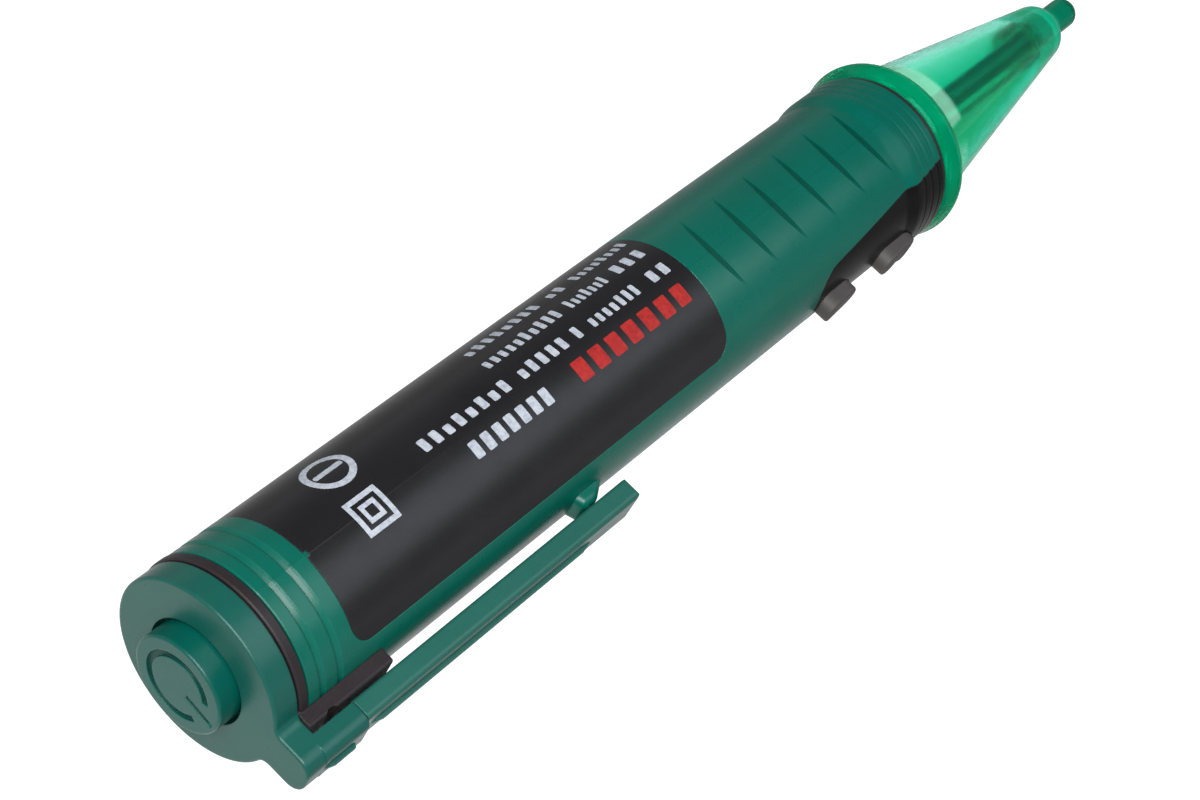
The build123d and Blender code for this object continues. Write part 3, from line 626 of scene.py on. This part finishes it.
def word(front, rear, count, seed, degrees, fill, low=0.0):
    """A row of plain blocks from station front back to station rear.

    fill is each block's share of the pitch; some blocks start a share low further round.
    """
    rng = random.Random(seed)
    pitch = (front - rear) / count
    start, end = arc(degrees[0]), arc(degrees[1])
    blocks = []
    for i in range(count):
        x1 = station(front - i * pitch)
        x0 = x1 - pitch * fill * MM
        s0 = start + (end - start) * (low if (rng.random() < 0.55 and i) else 0.0)
        blocks.append(bar(x0, x1, s0, end, radius=0.22 * MM))
    return blocks


# Small lines: degrees round the label, share low,
# then the words as front station, rear station (mm), block count, seed
TEXT_LINES = [
    ((-14.0, -5.2), 0.24, [
        (83.654, 79.039, 2, 11), (77.212, 66.923, 7, 12), (65.385, 63.654, 1, 13),
        (62.500, 52.789, 5, 14), (51.250, 34.423, 8, 15)]),
    ((-33.6, -24.6), 0.26, [
        (83.654, 76.923, 3, 21), (75.769, 67.692, 7, 22), (66.250, 51.154, 10, 23)]),
    ((-51.6, -42.8), 0.26, [
        (84.616, 73.462, 8, 31), (71.731, 68.077, 2, 32), (66.539, 52.115, 8, 33)]),
]

# Marks near the tail: two nested outlines, and a ring crossed by a bar
SQUARE_X0, SQUARE_X1 = stations(21.442, 26.731)
SQUARE_S0, SQUARE_S1 = arc(-9.5), arc(14.0)
SQUARE_STROKE = 0.6923 * MM
INNER_HALF, INNER_STROKE = 1.2981 * MM, 0.5962 * MM
RING_X, RING_S = station(25.000), arc(-34.5)
RING_INNER, RING_OUTER = 2.5481 * MM, 3.4615 * MM
CROSS_HALF_LENGTH, CROSS_HALF_WIDTH = 2.3077 * MM, 0.4038 * MM

# bold headline: a red word, and a white one nearer the tail
red = word(82.885, 59.039, count=7, seed=3, degrees=(3.2, 16.8), fill=0.66)
white = word(54.808, 39.423, count=7, seed=5, degrees=(4.6, 15.4), fill=0.62)
for degrees, low, words in TEXT_LINES:
    for front, rear, count, seed in words:
        white += word(front, rear, count, seed, degrees, fill=0.56, low=low)
white += outline(SQUARE_X0, SQUARE_X1, SQUARE_S0, SQUARE_S1, SQUARE_STROKE)
mid_x, mid_s = (SQUARE_X0 + SQUARE_X1) / 2, (SQUARE_S0 + SQUARE_S1) / 2
white += outline(mid_x - INNER_HALF, mid_x + INNER_HALF,
                 mid_s - INNER_HALF, mid_s + INNER_HALF, INNER_STROKE)
white.append(ring(RING_X, RING_S, RING_INNER, RING_OUTER))
white.append(bar(RING_X - CROSS_HALF_LENGTH, RING_X + CROSS_HALF_LENGTH,
                 RING_S - CROSS_HALF_WIDTH, RING_S + CROSS_HALF_WIDTH, radius=0.3 * MM))
print_piece("label_print_white", white, MATS["print_white"])
print_piece("label_print_red", red, MATS["print_red"])


# ---------------------------------------------------------------- the coil as real windings
def wound_coil(wire=0.135 * MM, per_turn=28, sides=6):
    """One helical wire of radius wire, filling the coil's box."""
    lo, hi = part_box("search_coil")
    mean = hi.y - wire
    x0, x1 = lo.x + wire, hi.x - wire
    turns = int((x1 - x0) / (2.06 * wire))
    total = turns * per_turn
    advance = (x1 - x0) / total * per_turn / (2 * math.pi)      # X gained per radian
    verts, faces = [], []
    for i in range(total + 1):
        turn = i / per_turn * 2 * math.pi
        y, z = math.cos(turn), math.sin(turn)
        centre = Vector((x0 + (x1 - x0) * i / total, mean * y, mean * z))
        outward = Vector((0, y, z))
        along = Vector((advance, -mean * z, mean * y)).normalized()
        side = along.cross(outward)
        for k in range(sides):
            a = 2 * math.pi * k / sides
            verts.append(centre + (outward * math.cos(a) + side * math.sin(a)) * wire)
    for i in range(total):
        for k in range(sides):
            a, b = i * sides + k, i * sides + (k + 1) % sides
            faces.append((a, b, b + sides, a + sides))
    faces.append(tuple(reversed(range(sides))))
    faces.append(tuple(range(total * sides, total * sides + sides)))
    coil = mesh_object("search_coil_windings", verts, faces, MATS["copper"])
    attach(coil, "housing")
    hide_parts("search_coil")


wound_coil()

# ---------------------------------------------------------------- floor
FLOOR_Z = cad_lo.z - 0.4 * MM
FLOOR_HALF = 6.0
SEEN_GLOW = 1.18       # strength seen by the camera and through clear plastic
# Strength seen by other rays: position on the ray's Z, strength
GLOW_STOPS = [(0.22, 0.16), (0.78, 0.80), (0.52, 0.34)]


def floor_material():
    """Glowing white to the camera, dimmer in reflections and as a light source."""
    material = bpy.data.materials.new("pale_floor")
    g = Graph(material, "ShaderNodeOutputMaterial")
    total = g.add("ShaderNodeAddShader")
    emit = g.add("ShaderNodeEmission")
    emit.inputs["Color"].default_value = (1, 1, 1, 1)
    geometry = g.add("ShaderNodeNewGeometry")
    incoming = g.add("ShaderNodeSeparateXYZ")
    g.join(geometry.outputs["Incoming"], incoming.inputs[0])
    glow = g.add("ShaderNodeValToRGB")
    g.join(incoming.outputs["Z"], glow.inputs["Fac"])
    # all stops are fetched before any is set; the order decides which ends up where
    elements = glow.color_ramp.elements
    fetched = [elements[0], elements[1], elements.new(0.5)]
    for element, (position, value) in zip(fetched, GLOW_STOPS):
        element.position = position
        element.color = (value, value, value, 1)
    path = g.add("ShaderNodeLightPath")
    seen = g.add("ShaderNodeMath", operation="MAXIMUM")
    g.join(path.outputs["Is Camera Ray"], seen.inputs[0])
    g.join(path.outputs["Is Transmission Ray"], seen.inputs[1])
    pick = g.add("ShaderNodeMix", data_type="FLOAT")
    g.join(seen.outputs[0], pick.inputs[0])
    g.join(glow.outputs["Color"], pick.inputs[2])
    pick.inputs[3].default_value = SEEN_GLOW
    g.join(pick.outputs[0], emit.inputs["Strength"])
    diffuse = g.add("ShaderNodeBsdfDiffuse")
    diffuse.inputs["Color"].default_value = (0.06, 0.06, 0.06, 1)
    g.join(emit.outputs[0], total.inputs[0])
    g.join(diffuse.outputs[0], total.inputs[1])
    g.join(total.outputs[0], g.out.inputs["Surface"])
    return material


floor_corners = [(x * FLOOR_HALF, y * FLOOR_HALF, FLOOR_Z)
                 for x, y in ((-1, -1), (1, -1), (1, 1), (-1, 1))]
floor = mesh_object("floor", floor_corners, [(0, 1, 2, 3)], floor_material(), smooth=False)

# ---------------------------------------------------------------- world
# Grey sky: position on the direction's Z, brightness
SKY_STOPS = [(0.0, 0.60), (0.10, 0.36), (0.30, 0.17), (0.60, 0.10)]


def build_world():
    world = bpy.data.worlds.new("studio")
    scene.world = world
    g = Graph(world, "ShaderNodeOutputWorld")
    background = g.add("ShaderNodeBackground")
    coord = g.add("ShaderNodeTexCoord")
    split = g.add("ShaderNodeSeparateXYZ")
    ramp = g.add("ShaderNodeValToRGB")
    g.join(coord.outputs["Generated"], split.inputs[0])
    g.join(split.outputs["Z"], ramp.inputs["Fac"])
    elements = ramp.color_ramp.elements
    while len(elements) < len(SKY_STOPS):
        elements.new(0.5)
    for element, (position, value) in zip(elements, SKY_STOPS):
        element.position = position
        element.color = (value, value * 1.01, value * 1.03, 1)
    g.join(ramp.outputs["Color"], background.inputs["Color"])
    background.inputs["Strength"].default_value = 1.0
    g.join(background.outputs[0], g.out.inputs["Surface"])


build_world()


# ---------------------------------------------------------------- lights
def softbox(name, toward, distance, size, power, color):
    """Square area light, placed from the product's centre along toward and facing it."""
    direction = Vector(toward).normalized()
    data = bpy.data.lights.new(name, "AREA")
    data.shape = "RECTANGLE"
    data.size = data.size_y = size
    data.energy = power
    data.color = color
    light = bpy.data.objects.new(name, data)
    scene.collection.objects.link(light)
    light.location = (cad_lo + cad_hi) / 2 + direction * distance
    light.rotation_mode = "QUATERNION"
    light.rotation_quaternion = direction.to_track_quat("Z", "Y")


softbox("overhead_softbox", toward=(-0.60, -0.10, 0.79), distance=0.72, size=0.50,
        power=6.0, color=(1.0, 1.0, 1.0))
softbox("sheen_softbox", toward=(0.42, -0.40, 0.81), distance=0.8, size=0.55,
        power=1.3, color=(0.86, 0.93, 1.0))

# ---------------------------------------------------------------- camera
CAMERA_PLACE = Vector((CAP_X - 0.13525, -0.06100, 0.24817))
CAMERA_RIGHT = Vector((0.61556, -0.70833, 0.34547))
CAMERA_VIEW = Vector((0.62718, 0.17486, -0.75899))

cam_data = bpy.data.cameras.new("camera")
cam_data.lens = 75.41
cam_data.sensor_width = 36.0
cam_data.clip_start, cam_data.clip_end = 0.01, 50
cam = bpy.data.objects.new("camera", cam_data)
scene.collection.objects.link(cam)
back = -CAMERA_VIEW.normalized()
up = back.cross(CAMERA_RIGHT.normalized()).normalized()
right = up.cross(back).normalized()
pose = Matrix((right, up, back)).transposed().to_4x4()
pose.translation = CAMERA_PLACE
cam.matrix_world = pose
scene.camera = cam

# ---------------------------------------------------------------- render settings
scene.view_settings.view_transform = "Standard"
scene.view_settings.look = "None"
scene.view_settings.exposure = 0.0
scene.view_settings.gamma = 1.0
scene.cycles.use_denoising = True
scene.cycles.max_bounces = 14
scene.cycles.transmission_bounces = 14
scene.cycles.transparent_max_bounces = 16
scene.cycles.sample_clamp_indirect = 6.0
